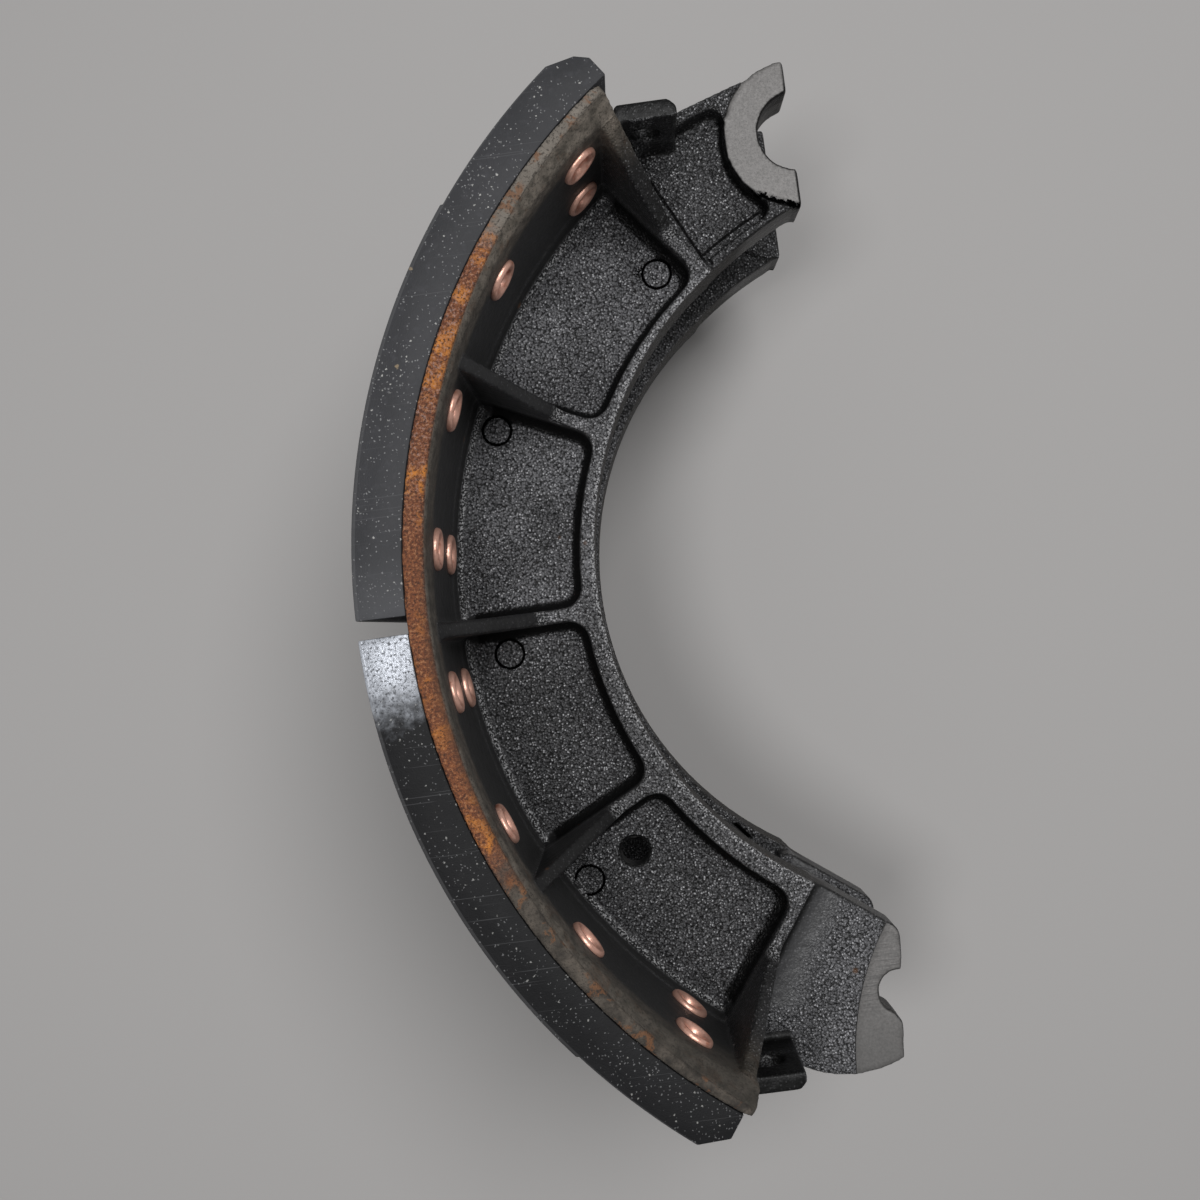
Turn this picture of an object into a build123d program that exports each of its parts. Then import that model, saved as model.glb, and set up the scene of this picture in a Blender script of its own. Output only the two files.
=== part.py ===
from build123d import *
from math import cos, radians, sin, sqrt
import os

# Cast shoe for a drum brake with an S-shaped cam: one casting, two riveted linings.
# The shoe is drawn about the drum's axis, midway between its two webs. -X points through
# the gap between the linings and +Y to the cam end. Angles are in degrees about Z, counted
# from -X and positive towards the cam end. Lengths are in mm. Each finished piece is then
# moved, so that the origin is on the axis of the anchor pin that the shoe swings on.

# --- Driving dimensions -------------------------------------------------------------
drum_radius = 205.0
shoe_width = 200.0
lining_thickness = 15.0
platform_thickness = 7.0

# Heights of the webs' faces above the mid-plane
web_inner, web_floor, rim_top = 22.0, 32.0, 43.0
cam_web_top, boss_bottom, boss_top = 39.5, 20.0, 38.0
anchor_inner, anchor_top, anchor_pad_top = 13.5, 31.2, 30.6

# The platform's ends, with a gusset along each, and the three ribs between them
cam_end, anchor_end = 53.6, -54.9
cam_gusset, anchor_gusset, anchor_platform_end = 51.7, -53.3, -55.5
rib_angles, rib_width = (25.2, -1.0, -27.2), 4.8
gusset_foot_radius, gusset_top = 152.0, 92.0

# The rim's inner edge and the pockets' edge along it are circles off the drum's axis
rim_center, rim_radius = (-5.8, 4.6), 127.7
pocket_center, pocket_radius = (-8.2, 1.8), 131.0
pocket_rim_corner, pocket_platform_corner, pocket_bevel = 7.0, 5.0, 3.0

# Cam end: a web with an edge band, and a boss with the roller's seat, cut off square
cam_cut_x = -45.5
cam_edge_start, cam_edge_end = (-84.0, 166.6), (-60.2, 174.2)
cam_rim_angle, cam_rim_radius = 55.2, 135.3
cam_rim_middle, cam_rim_end_y = (-62.2, 121.1), 129.2
cam_pocket_radius, cam_pocket_last_angle, cam_pocket_corner = 139.0, 70.0, 4.5
cam_pocket_platform_radius = 180.5
cam_pocket_lug_corner, cam_pocket_band_point = (-98.5, 155.6), (-60.0, 171.3)
boss_center, boss_radius = (-43.8, 153.8), 26.1
roller_center, roller_radius = (-43.8, 154.7), 13.6

# Anchor end: a plate set nearer the mid-plane, with a faced pad and the anchor pin's seat
anchor_neck = (-73.6, -104.4)
anchor_upper_tip, anchor_lower_tip = (-44.3, -126.2), (-49.0, -170.6)
anchor_heel, anchor_heel_radius = (-83.9, -169.7), 39.1
anchor_rim_radius, anchor_tip_fillet, anchor_step_fillet = 129.7, 6.0, 8.0
pad_center, pad_radius = (28.6, -178.1), 95.2
pin_center, pin_radius = (-47.3, -147.6), 7.5
pin_lead_in = ((-50.3, -154.3), (-47.9, -158.6), (-42.0, -150.0))

# Plates that stand on the webs past the platform's ends, for the return springs
lug_top, lug_thickness, lug_chamfer = 63.0, 6.0, 2.5
lug_tip_x, cam_lug_y, anchor_lug_y = -86.8, 155.3, -158.5
cam_lug_back_x, anchor_lug_back_x, lug_back_step, lug_root_radius = -107.0, -104.5, 1.0, 188.0
lug_hole_radius, lug_hole_x, lug_hole_height = 5.0, -97.5, 49.0
web_hole_center, web_hole_radius = (-132.6, -87.3), 5.0

# The bevel inside the platform's edge is a cone off the drum's axis, deeper at the ends
bevel_axis_x, bevel_radius, bevel_width, bevel_depth = 8.7, 192.7, 6.0, 12.0
platform_end_fillet = 3.5

# Linings: ground back a little towards their outer ends, whose corners are taken off
lining_gap = (0.75, -0.85)
lining_end, lining_relief = 54.5, 0.6
cam_relief_angle, anchor_relief_angle = 36.8, -40.2
cam_corner = ((51.3, 0.6), (53.6, 4.4), (54.5, 8.0))
anchor_corner = ((-52.3, 0.6), (-54.5, 7.0))

# Rivets: angles within a lining, and heights above and below the mid-plane. Rivets and
# their holes have few sides, as there are many of them.
rivet_angles, doubled_angles = (7.1, 20.9, 34.7, 48.4), (7.1, 48.4)
rivet_row, rivet_second_row = 79.0, 50.0
shank_radius, shank_sides = 4.1, 6
head_radius, head_thickness, head_sides = 7.2, 2.0, 10
clinch_radius, clinch_height, clinch_chamfer = 6.8, 1.6, 0.9
bowl_radius, bowl_depth, bowl_chamfer = 3.0, 2.6, 2.3
counterbore_radius, counterbore_depth = 8.0, 9.0

# --- Derived sizes ------------------------------------------------------------------
half_width = shoe_width / 2
platform_outer = drum_radius - lining_thickness
platform_inner = platform_outer - platform_thickness
root_radius = platform_inner + platform_thickness / 2   # the webs run into the platform
hollow_radius = rim_radius / 2   # well inside the rim, so that the rim's circle trims it all
head_seat = drum_radius - counterbore_depth
clinch_seat = sqrt(platform_inner ** 2 - clinch_radius ** 2)   # its rim meets the curved face
drum_axis_from_pin = (-pin_center[0], -pin_center[1], 0)

os.makedirs("parts", exist_ok=True)


def polar(radius, angle):
    """Point of the XY plane at a radius and an angle of the shoe."""
    return (-radius * cos(radians(angle)), radius * sin(radians(angle)))


def draw_sector(inner, outer, low, high):
    """Draw the closed outline of a ring sector in the active BuildLine."""
    CenterArc((0, 0), outer, 180 - high, high - low)
    CenterArc((0, 0), inner, 180 - high, high - low)
    Line(polar(inner, low), polar(outer, low))
    Line(polar(inner, high), polar(outer, high))


def outward_plane(radius, angle, height):
    """Plane across a radial line, with its normal pointing away from the drum's axis."""
    outward = Vector(*polar(1, angle))
    return Plane(origin=outward * radius + Vector(0, 0, height), x_dir=(0, 0, 1), z_dir=outward)


def rivet_places(side):
    """Angle and height of each rivet of a lining: side is 1 at the cam end, -1 at the other."""
    places = []
    for angle in rivet_angles:
        rows = (rivet_row, rivet_second_row) if angle in doubled_angles else (rivet_row,)
        places += [(side * angle, height) for row in rows for height in (row, -row)]
    return places


def near_platform(vertex):
    """True for a corner on the platform's side of a pocket, False for one along the rim."""
    return Vector(vertex.X, vertex.Y).length > gusset_foot_radius


def rivet_planes(side, radius):
    """Planes across the axes of a lining's rivets, at a radius."""
    return [outward_plane(radius, angle, height) for angle, height in rivet_places(side)]


def lug_corners(face_y, thickness, back_x, end):
    """Corners of a spring lug that grows out of one end of the platform."""
    chamfer_y = lug_chamfer * thickness / abs(thickness)
    return ((lug_tip_x, face_y), (lug_tip_x, face_y + thickness - chamfer_y),
            (lug_tip_x - lug_chamfer, face_y + thickness), (back_x, face_y + thickness),
            polar(lug_root_radius, end), polar(platform_inner, end), (back_x + lug_back_step, face_y))


# --- Casting ------------------------------------------------------------------------
# The half above the mid-plane is built first, and mirrored at the end.
with BuildPart() as shoe_casting:
    # Web between the two end gussets, as a block of the platform's full height
    with BuildSketch(Plane.XY.offset(web_inner)):
        with BuildLine():
            draw_sector(hollow_radius, root_radius, anchor_end, cam_end)
        make_face()
        with Locations(rim_center):
            Circle(rim_radius, mode=Mode.SUBTRACT)
    extrude(amount=half_width - web_inner)

    # Four pockets, with ribs left between them
    with BuildSketch(Plane.XY.offset(web_floor)) as pockets:
        with BuildLine():
            draw_sector(hollow_radius, platform_inner, anchor_gusset, cam_gusset)
        make_face()
        with Locations(pocket_center):
            Circle(pocket_radius, mode=Mode.SUBTRACT)
        for angle in rib_angles:
            with Locations(Location((0, 0), 180 - angle)):
                Rectangle(platform_outer, rib_width, align=(Align.MIN, Align.CENTER),
                          mode=Mode.SUBTRACT)
        along_rim, along_platform = pockets.vertices().group_by(near_platform)
        fillet(along_rim, radius=pocket_rim_corner)
        fillet(along_platform, radius=pocket_platform_corner)
    extrude(amount=half_width - web_floor, mode=Mode.SUBTRACT)
    chamfer(edges().filter_by_position(Axis.Z, web_floor, web_floor), length=pocket_bevel)

    # Rim and ribs are flat on top, and the ribs rise to the platform as gussets
    with BuildSketch(Plane.XZ):
        with BuildLine():
            Polyline((0, rim_top), (gusset_foot_radius, rim_top), (platform_inner, gusset_top),
                     (platform_inner, half_width), (0, half_width), close=True)
        make_face()
    revolve(mode=Mode.SUBTRACT)

    # Anchor end: the plate, then its pad, faced by a large cutter, and the pin's seat
    with BuildSketch(Plane.XY.offset(anchor_inner)) as anchor_plate:
        with BuildLine():
            Polyline(polar(root_radius, anchor_gusset), polar(anchor_rim_radius, anchor_gusset),
                     anchor_neck, anchor_upper_tip, anchor_lower_tip)
            RadiusArc(anchor_lower_tip, anchor_heel, anchor_heel_radius)
            Polyline(anchor_heel, polar(platform_outer, anchor_end), polar(root_radius, anchor_end),
                     polar(root_radius, anchor_gusset))
        make_face()
        fillet(anchor_plate.vertices().sort_by(Axis.X)[-1], radius=anchor_tip_fillet)
    extrude(amount=anchor_top - anchor_inner)
    foot_of_end_gusset = edges().filter_by(GeomType.LINE).filter_by_position(Axis.Z, anchor_top, anchor_top)
    fillet(foot_of_end_gusset.sort_by(SortBy.LENGTH)[-1], radius=anchor_step_fillet)
    with BuildSketch(Plane.XY.offset(anchor_pad_top)):
        with Locations(pad_center):
            Circle(pad_radius)
    extrude(amount=rim_top - anchor_pad_top, mode=Mode.SUBTRACT)
    with BuildSketch():
        with Locations(pin_center):
            Circle(pin_radius)
        Polygon(*pin_lead_in, align=None)
    extrude(amount=half_width, mode=Mode.SUBTRACT)

    # Cam end: the web, its pocket, then the roller boss, whose face is spot-faced
    with BuildSketch(Plane.XY.offset(web_inner)):
        with BuildLine():
            Polyline(polar(cam_rim_radius, cam_gusset), polar(root_radius, cam_gusset),
                     polar(root_radius, cam_end), polar(platform_outer, cam_end), cam_edge_start,
                     cam_edge_end, (cam_cut_x, cam_edge_end[1]), (cam_cut_x, cam_rim_end_y))
            ThreePointArc((cam_cut_x, cam_rim_end_y), cam_rim_middle,
                          polar(cam_rim_radius, cam_rim_angle))
            Line(polar(cam_rim_radius, cam_rim_angle), polar(cam_rim_radius, cam_gusset))
        make_face()
    extrude(amount=cam_web_top - web_inner)
    with BuildSketch(Plane.XY.offset(web_floor)) as cam_pocket:
        with BuildLine():
            CenterArc((0, 0), cam_pocket_radius, 180 - cam_pocket_last_angle,
                      cam_pocket_last_angle - cam_end)
            Polyline(polar(cam_pocket_radius, cam_end), polar(cam_pocket_platform_radius, cam_end),
                     cam_pocket_lug_corner, cam_pocket_band_point,
                     polar(cam_pocket_radius, cam_pocket_last_angle))
        make_face()
        with Locations(boss_center):
            Circle(boss_radius, mode=Mode.SUBTRACT)
        fillet(cam_pocket.vertices(), radius=cam_pocket_corner)
    extrude(amount=rim_top - web_floor, mode=Mode.SUBTRACT)
    with BuildSketch(Plane.XY.offset(boss_bottom)):
        with Locations(boss_center):
            Circle(boss_radius)
        with Locations((cam_cut_x, boss_center[1])):
            Rectangle(2 * boss_radius, 2 * boss_radius, align=(Align.MIN, Align.CENTER),
                      mode=Mode.SUBTRACT)
    extrude(amount=boss_top - boss_bottom)
    with BuildSketch(Plane.XY.offset(boss_top)):
        with Locations(boss_center):
            Circle(boss_radius)
    extrude(amount=rim_top - boss_top, mode=Mode.SUBTRACT)
    with BuildSketch():
        with Locations(roller_center):
            Circle(roller_radius)
    extrude(amount=half_width, mode=Mode.SUBTRACT)

    # Spring lugs, each with a hole along Y
    with BuildSketch(Plane.XY.offset(web_inner)):
        Polygon(*lug_corners(cam_lug_y, lug_thickness, cam_lug_back_x, cam_end), align=None)
        Polygon(*lug_corners(anchor_lug_y, -lug_thickness, anchor_lug_back_x, anchor_end), align=None)
    extrude(amount=lug_top - web_inner)
    with Locations(*[Location((lug_hole_x, y, lug_hole_height), (90, 0, 0))
                     for y in (cam_lug_y, anchor_lug_y)]):
        Cylinder(lug_hole_radius, 4 * lug_thickness, mode=Mode.SUBTRACT)
    with Locations((*web_hole_center, 0)):
        Cylinder(web_hole_radius, shoe_width, mode=Mode.SUBTRACT)

    # Platform that carries the linings, bevelled inside along its edge
    with BuildSketch():
        with BuildLine():
            draw_sector(platform_inner, platform_outer, anchor_platform_end, cam_end)
        make_face()
    extrude(amount=half_width)
    fillet(edges().filter_by(GeomType.LINE).filter_by_position(Axis.Z, half_width, half_width),
           radius=platform_end_fillet)
    with BuildSketch(Plane.XZ):
        with BuildLine():
            Polyline((bevel_axis_x - bevel_radius, half_width),
                     (bevel_axis_x - bevel_radius + bevel_width, half_width),
                     (bevel_axis_x - bevel_radius + bevel_width, half_width - bevel_depth), close=True)
        make_face()
    revolve(axis=Axis((bevel_axis_x, 0, 0), (0, 0, 1)), mode=Mode.SUBTRACT)

    mirror(about=Plane.XY)
    with BuildSketch(*rivet_planes(1, clinch_seat), *rivet_planes(-1, clinch_seat)):
        RegularPolygon(shank_radius, shank_sides)
    extrude(amount=2 * platform_thickness, mode=Mode.SUBTRACT)
shoe_casting.part.label = "shoe_casting"
shoe_casting.part.position = drum_axis_from_pin
export_step(shoe_casting.part, "parts/shoe_casting.step")

# --- Linings ------------------------------------------------------------------------
lining_outlines = {
    "cam_side_lining": (1, lining_gap[0], cam_relief_angle, cam_corner),
    "anchor_side_lining": (-1, lining_gap[1], anchor_relief_angle, anchor_corner),
}
for name, (side, gap_angle, relief_angle, corner) in lining_outlines.items():
    end = side * lining_end
    with BuildPart() as lining:
        with BuildSketch(Plane.XY.offset(-half_width)):
            with BuildLine():
                Polyline(polar(platform_outer, end),
                         *[polar(drum_radius - drop, angle) for angle, drop in reversed(corner)])
                ThreePointArc(polar(drum_radius - corner[0][1], corner[0][0]),
                              polar(drum_radius - lining_relief, (corner[0][0] + relief_angle) / 2),
                              polar(drum_radius - lining_relief, relief_angle))
                Line(polar(drum_radius - lining_relief, relief_angle), polar(drum_radius, relief_angle))
                ThreePointArc(polar(drum_radius, relief_angle), polar(drum_radius, relief_angle / 2),
                              polar(drum_radius, gap_angle))
                Line(polar(drum_radius, gap_angle), polar(platform_outer, gap_angle))
                ThreePointArc(polar(platform_outer, gap_angle), polar(platform_outer, relief_angle / 2),
                              polar(platform_outer, end))
            make_face()
        extrude(amount=shoe_width)
        with BuildSketch(*rivet_planes(side, platform_inner)):
            RegularPolygon(shank_radius, shank_sides)
        extrude(amount=2 * lining_thickness, mode=Mode.SUBTRACT)
        with BuildSketch(*rivet_planes(side, head_seat)):
            RegularPolygon(counterbore_radius, head_sides)
        extrude(amount=lining_thickness, mode=Mode.SUBTRACT)
    lining.part.label = name
    lining.part.position = drum_axis_from_pin
    export_step(lining.part, f"parts/{name}.step")

# --- Rivets -------------------------------------------------------------------------
# Each has a flat head in the lining's counterbore and a clinched end on the platform.
for side, end_name in ((1, "cam"), (-1, "anchor")):
    for number, (angle, height) in enumerate(rivet_places(side), start=1):
        seat = outward_plane(clinch_seat, angle, height)
        outward = Axis(seat.origin, seat.z_dir)
        with BuildPart() as rivet:
            with BuildSketch(seat):
                RegularPolygon(shank_radius, shank_sides)
            extrude(amount=head_seat - clinch_seat)
            with BuildSketch(seat.offset(head_seat - clinch_seat)):
                RegularPolygon(head_radius, head_sides)
            extrude(amount=head_thickness)
            with BuildSketch(seat):
                RegularPolygon(clinch_radius, head_sides)
            extrude(amount=-clinch_height)
            chamfer(faces().sort_by(outward)[0].edges(), length=clinch_chamfer)
            with BuildSketch(seat.offset(-clinch_height)):
                RegularPolygon(bowl_radius, head_sides)
            extrude(amount=bowl_depth, mode=Mode.SUBTRACT)
            chamfer(faces().sort_by(outward)[0].inner_wires().edges(), length=bowl_chamfer)
        rivet.part.label = f"{end_name}_rivet_{number:02d}"
        rivet.part.position = drum_axis_from_pin
        export_step(rivet.part, f"parts/{rivet.part.label}.step")
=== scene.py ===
"""Looks of a cast brake shoe: painted iron casting, two friction linings, copper rivets."""
import math
from typing import NamedTuple
import bmesh
import bpy
import numpy as np
from mathutils import Matrix, Vector


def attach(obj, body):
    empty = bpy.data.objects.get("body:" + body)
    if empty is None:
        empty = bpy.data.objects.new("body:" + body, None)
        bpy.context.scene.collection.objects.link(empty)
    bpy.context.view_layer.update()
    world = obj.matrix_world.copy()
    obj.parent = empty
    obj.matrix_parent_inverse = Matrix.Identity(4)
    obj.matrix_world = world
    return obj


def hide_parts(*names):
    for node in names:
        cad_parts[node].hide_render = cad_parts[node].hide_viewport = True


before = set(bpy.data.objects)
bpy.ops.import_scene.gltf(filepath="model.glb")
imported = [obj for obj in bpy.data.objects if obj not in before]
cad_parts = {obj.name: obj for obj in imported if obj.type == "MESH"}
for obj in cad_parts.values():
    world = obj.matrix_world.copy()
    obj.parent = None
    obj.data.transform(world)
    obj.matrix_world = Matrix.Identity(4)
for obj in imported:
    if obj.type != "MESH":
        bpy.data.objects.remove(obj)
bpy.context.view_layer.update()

MM = 0.001
# The shoe is measured about the drum's axis. -X points through the gap between the
# linings, and angles are in degrees from -X, positive towards the cam end.
DRUM_AXIS = Vector((47.3, 147.6, 0.0)) * MM
HALF_WIDTH = 100.0
DRUM_RADIUS, LINING_THICKNESS, PLATFORM_THICKNESS = 205.0, 15.0, 7.0
PLATFORM_OUTER = DRUM_RADIUS - LINING_THICKNESS
PLATFORM_INNER = PLATFORM_OUTER - PLATFORM_THICKNESS

# Rivets, as in the frame: four rows to a lining, of which the first and last are doubled
RIVET_ANGLES, DOUBLED_ANGLES = (7.1, 20.9, 34.7, 48.4), (7.1, 48.4)
RIVET_ROW, RIVET_SECOND_ROW = 79.0, 50.0
CLINCH_RADIUS, SHANK_RADIUS = 6.8, 4.1
HEAD_SEAT, HEAD_RADIUS, HEAD_THICKNESS = 196.0, 7.2, 2.0
COUNTERBORE_RADIUS = 8.0
CUT_BELOW_SEAT, CUT_ABOVE_SEAT = -30.0, 20.0
RIVET_SEGMENTS, HOLE_SEGMENTS = 40, 48
CURL_LOBES, CURL_WOBBLE = 3, 0.012   # the curled ends are not quite round

# Casting. Heights are above the mid-plane, and the two sides are alike.
WEB_INNER, WEB_FLOOR, RIM_TOP = 22.0, 32.0, 43.0
RIM_CENTER, RIM_RADIUS = (-5.8, 4.6), 127.7
BOSS_CENTER, BOSS_RADIUS, BOSS_BOTTOM, BOSS_TOP = (-43.8, 153.8), 26.1, 20.0, 38.0
ROLLER_CENTER, ROLLER_RADIUS = (-43.8, 154.7), 13.6
PAD_CENTER, PAD_RADIUS, PAD_TOP = (28.6, -178.1), 95.2, 30.6
PIN_CENTER, PIN_RADIUS, ANCHOR_INNER = (-47.3, -147.6), 7.5, 13.5
LUG_SIDE, LUG_TIP = 155.2, -86.0
HOLE_CENTER, HOLE_RADIUS = (-132.6, -87.3), 5.0
HOLE_WALL_RADII, HOLE_WALL_HEIGHTS = (3.5, 6.3), (20.0, 33.0)

# Marks of the moulds: rings on the pocket floors, and a scuff beside the first
EJECTOR_MARKS = ((-98.6, 112.9), (-161.7, 65.3), (-167.3, -13.4), (-149.7, -95.3))
EJECTOR_RADIUS, EJECTOR_GROOVE, EJECTOR_DEPTH = 5.0, 0.9, 0.55
SCUFF_CENTER = (-104.6, 114.4)

# Thin grooves round the cam end's pocket, beside the gusset and along the rim, and a slit
# in the far web
GUSSET_GROOVE, GUSSET_GROOVE_END = ((-97.3, 147.7), (-82.0, 116.9)), 109.0
RIM_GROOVE_RADIUS, RIM_GROOVE_ANGLES = 142.8, (54.8, 65.8)
GROOVE_WIDTH, GROOVE_DEPTH = 1.0, 0.45
SLIT = ((-93.2, -91.4), (-87.7, -98.0))
SLIT_WIDTH, SLIT_DEPTH = 1.5, 1.6

# The roller boss's face breaks off just below this line
BREAK_LINE, BREAK_MIDDLE = ((-63.5, 136.2), (-45.0, 128.2)), -1.1
BREAK_WIDTH, BREAK_DEPTH, BREAK_FLATNESS = 1.5, 0.9, 1.6

# Rounding of the casting's skin
VOXEL = 0.95 * MM
ROUNDING_STEPS = 5
CASTING_TRIANGLES = 190_000

# Colours of the casting's paint, with its painted shade and painted glints
PAINT_DARK, PAINT_LIGHT = (0.060, 0.060, 0.064), (0.114, 0.114, 0.121)
PAINT_SHADED, PAINT_STRIP = (0.022, 0.022, 0.023), (0.030, 0.030, 0.030)
VALLEY_SHADE, PEAK_GLINT = (0.009, 0.009, 0.009), (0.60, 0.60, 0.62)
STEEP_SHADE, PAINT_PLATFORM = (0.010, 0.010, 0.010), (0.018, 0.018, 0.018)
WORN_GLINT, PAINT_BROWN = (0.50, 0.50, 0.51), (0.026, 0.022, 0.018)
CORNER_SHADE, CREVICE_SHADE = (0.004, 0.004, 0.004), (0.002, 0.002, 0.002)

# Colours of its rust, bare iron and dirt
RUST_SPOT = (0.105, 0.050, 0.022)
RUST_DARK, RUST_RED = (0.105, 0.032, 0.015), (0.235, 0.080, 0.028)
RUST_ORANGE, RUST_GREY = (0.520, 0.185, 0.028), (0.300, 0.205, 0.185)
RUST_FLECK, RUST_PALE = (0.050, 0.021, 0.011), (0.46, 0.23, 0.11)
RUST_SHADED = (0.070, 0.030, 0.015)
IRON_DARK, IRON_LIGHT = (0.090, 0.079, 0.066), (0.260, 0.230, 0.198)
IRON_LOWER_DARK, IRON_LOWER_LIGHT = (0.018, 0.015, 0.012), (0.098, 0.082, 0.066)
IRON_RUSTY, IRON_FLECK, IRON_RUBBED_GLINT = (0.170, 0.074, 0.030), (0.030, 0.024, 0.019), (0.33, 0.30, 0.27)
DIRT_DARK, DIRT_LIGHT = (0.075, 0.065, 0.051), (0.230, 0.197, 0.163)
DIRT_RUSTY, DIRT_FLECK = (0.120, 0.060, 0.030), (0.022, 0.018, 0.013)
DIRT_LOWER, DIRT_MIDDLE = (0.020, 0.017, 0.012), (0.012, 0.010, 0.007)

# Colours of its machined faces
STEEL_DARK, STEEL_LIGHT = (0.062, 0.060, 0.058), (0.252, 0.242, 0.237)
STEEL_PIT, STEEL_DULL, STEEL_CUT = (0.050, 0.048, 0.047), (0.085, 0.084, 0.082), (0.065, 0.065, 0.065)
BORE_DARK, BORE_LIGHT = (0.028, 0.027, 0.026), (0.060, 0.058, 0.056)

# Colours of the linings and rivets
LINING_DARK, LINING_LIGHT, LINING_MOTTLE = (0.0115, 0.012, 0.0135), (0.026, 0.026, 0.029), 1.6
SPECK_SMALL, SPECK_MEDIUM, SPECK_LARGE = (0.22, 0.22, 0.225), (0.40, 0.395, 0.38), (0.28, 0.21, 0.13)
SCRATCH_GREY, GROUND_GREY, SHEEN_GREY = (0.12, 0.12, 0.125), (0.085, 0.085, 0.087), (0.085, 0.087, 0.094)
GLAZE_GLARE, GLAZE_PIT = (0.385, 0.405, 0.445), (0.030, 0.030, 0.032)
COPPER_BRIGHT, COPPER_TARNISHED = (0.96, 0.56, 0.44), (0.66, 0.26, 0.17)

# Stage
FLOOR_COLOR, FLOOR_ROUGHNESS, FLOOR_SIZE, FLOOR_GAP = (0.40, 0.39, 0.385), 0.85, 4.0, 0.0002
WORLD_STRENGTH = 0.22
CAMERA_PLACE, CAMERA_ROLL = (-127.0, -9.1, 453.5), 7.5
FOCAL_PIXELS, FOCAL_LENGTH = 1200.0, 36.0
VANISHING_POINT, IMAGE_CENTER = (622.0, 627.0), (600.0, 600.0)


class Lining(NamedTuple):
    """A friction block. Its corner is a row of (angle, depth below the drum's face) points."""
    end_name: str
    side: int
    gap: float
    relief_angle: float
    corner: tuple
    shade: float
    small_specks: float
    medium_specks: float
    specular: float


# The blocks' faces are ground back a little towards their outer ends
LINING_END, LINING_RELIEF = 54.5, 0.6
# The cam block's colours are painted lighter and the anchor block's darker, with dimmer specks: painted
# light and shade
LININGS = (
    Lining("cam", 1, 0.75, 36.8, ((51.3, 0.6), (53.6, 4.4), (54.5, 8.0)), 1.5, 0.8, 0.85, 0.35),
    Lining("anchor", -1, -0.85, -40.2, ((-52.3, 0.6), (-54.5, 7.0)), 0.35, 0.5, 0.55, 0.22),
)


def place(x, y, z=0.0):
    """Point of the frame, in metres, from millimetres about the drum's axis."""
    return DRUM_AXIS + Vector((x, y, z)) * MM


def polar(radius, angle):
    return (-radius * math.cos(math.radians(angle)), radius * math.sin(math.radians(angle)))


def rivet_places(side):
    """Angle and height of each rivet of a lining."""
    places = []
    for angle in RIVET_ANGLES:
        rows = (RIVET_ROW, RIVET_SECOND_ROW) if angle in DOUBLED_ANGLES else (RIVET_ROW,)
        places += [(side * angle, height) for row in rows for height in (row, -row)]
    return places


# --- Shading ------------------------------------------------------------------------
class Shader:
    """A material's node tree. Inputs are numbers, colours or other nodes' outputs."""

    def __init__(self, name):
        self.material = bpy.data.materials.new(name)
        self.material.use_nodes = True
        self.tree = self.material.node_tree
        self.tree.nodes.clear()

    def node(self, kind, *inputs, **settings):
        node = self.tree.nodes.new(kind)
        for name, value in settings.items():
            setattr(node, name, value)
        for socket, value in zip(node.inputs, inputs):
            self.feed(socket, value)
        return node

    def feed(self, socket, value):
        if isinstance(value, bpy.types.NodeSocket):
            self.tree.links.new(value, socket)
        elif isinstance(value, tuple) and socket.type == "RGBA":
            socket.default_value = (*value, 1.0)
        elif value is not None:
            socket.default_value = value

    def feed_named(self, node, **inputs):
        """Inputs by their names in the node, with _ for a space."""
        for name, value in inputs.items():
            self.feed(node.inputs[name.replace("_", " ")], value)

    def finish(self, **inputs):
        surface = self.node("ShaderNodeBsdfPrincipled")
        self.feed_named(surface, **inputs)
        output = self.node("ShaderNodeOutputMaterial")
        self.tree.links.new(surface.outputs[0], output.inputs["Surface"])
        return self.material


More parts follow.
